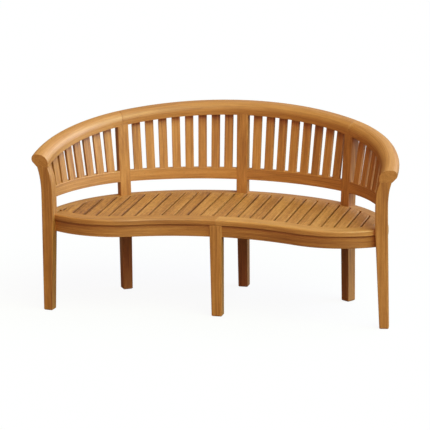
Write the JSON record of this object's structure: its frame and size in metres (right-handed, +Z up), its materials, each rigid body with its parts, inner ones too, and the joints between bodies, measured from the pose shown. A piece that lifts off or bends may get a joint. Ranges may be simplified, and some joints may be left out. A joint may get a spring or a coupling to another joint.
{
  "type": "curved garden bench",
  "caption": "Teak garden bench with a curved slatted back that sweeps round into the arms, a double-curved seat front and tapered legs.",
  "frame": {"origin": "on the ground, under the middle of the bench's own box", "axes": "+X to the right of someone who looks at the front, along the bench; -Y towards the front; +Z up"},
  "size_m": [1.5986, 0.6754, 0.8269],
  "materials": {
    "top_rail_teak": "sanded and oiled teak, satin",
    "leg_teak": "sanded and oiled teak, satin",
    "seat_slat_teak": "sanded and oiled teak, satin",
    "back_panel_teak": "sanded and oiled teak, satin",
    "seat_edge_teak": "sanded and oiled teak, satin",
    "apron_teak": "sanded and oiled teak, satin",
    "bearer_teak": "sanded and oiled teak, satin"
  },
  "bodies": {
    "root": {"front_left_post": "leg_teak", "back_left_leg": "leg_teak", "back_middle_leg": "leg_teak", "back_right_leg": "leg_teak", "front_right_post": "leg_teak", "front_middle_leg": "leg_teak", "top_rail_left_arm": "top_rail_teak", "top_rail_crest": "top_rail_teak", "top_rail_right_arm": "top_rail_teak", "back_panel_left_arm": "back_panel_teak", "back_panel_left": "back_panel_teak", "back_panel_right": "back_panel_teak", "back_panel_right_arm": "back_panel_teak", "rear_apron_left_arm": "apron_teak", "rear_apron_left": "apron_teak", "rear_apron_right": "apron_teak", "rear_apron_right_arm": "apron_teak", "rear_seat_strip_left_arm": "seat_edge_teak", "rear_seat_strip_left": "seat_edge_teak", "rear_seat_strip_right": "seat_edge_teak", "rear_seat_strip_right_arm": "seat_edge_teak", "rear_slat_bearer_left_arm": "bearer_teak", "rear_slat_bearer_left": "bearer_teak", "rear_slat_bearer_right": "bearer_teak", "rear_slat_bearer_right_arm": "bearer_teak", "front_apron_left": "apron_teak", "front_apron_right": "apron_teak", "front_seat_board_left": "seat_edge_teak", "front_seat_board_right": "seat_edge_teak", "front_slat_bearer_left": "bearer_teak", "front_slat_bearer_right": "bearer_teak", "seat_centre_bearer": "bearer_teak", "seat_slat_left_13": "seat_slat_teak", "seat_slat_left_12": "seat_slat_teak", "seat_slat_left_11": "seat_slat_teak", "seat_slat_left_10": "seat_slat_teak", "seat_slat_left_9": "seat_slat_teak", "seat_slat_left_8": "seat_slat_teak", "seat_slat_left_7": "seat_slat_teak", "seat_slat_left_6": "seat_slat_teak", "seat_slat_left_5": "seat_slat_teak", "seat_slat_left_4": "seat_slat_teak", "seat_slat_left_3": "seat_slat_teak", "seat_slat_left_2": "seat_slat_teak", "seat_slat_left_1": "seat_slat_teak", "seat_slat_middle": "seat_slat_teak", "seat_slat_right_1": "seat_slat_teak", "seat_slat_right_2": "seat_slat_teak", "seat_slat_right_3": "seat_slat_teak", "seat_slat_right_4": "seat_slat_teak", "seat_slat_right_5": "seat_slat_teak", "seat_slat_right_6": "seat_slat_teak", "seat_slat_right_7": "seat_slat_teak", "seat_slat_right_8": "seat_slat_teak", "seat_slat_right_9": "seat_slat_teak", "seat_slat_right_10": "seat_slat_teak", "seat_slat_right_11": "seat_slat_teak", "seat_slat_right_12": "seat_slat_teak", "seat_slat_right_13": "seat_slat_teak"}
  },
  "joints": []
}
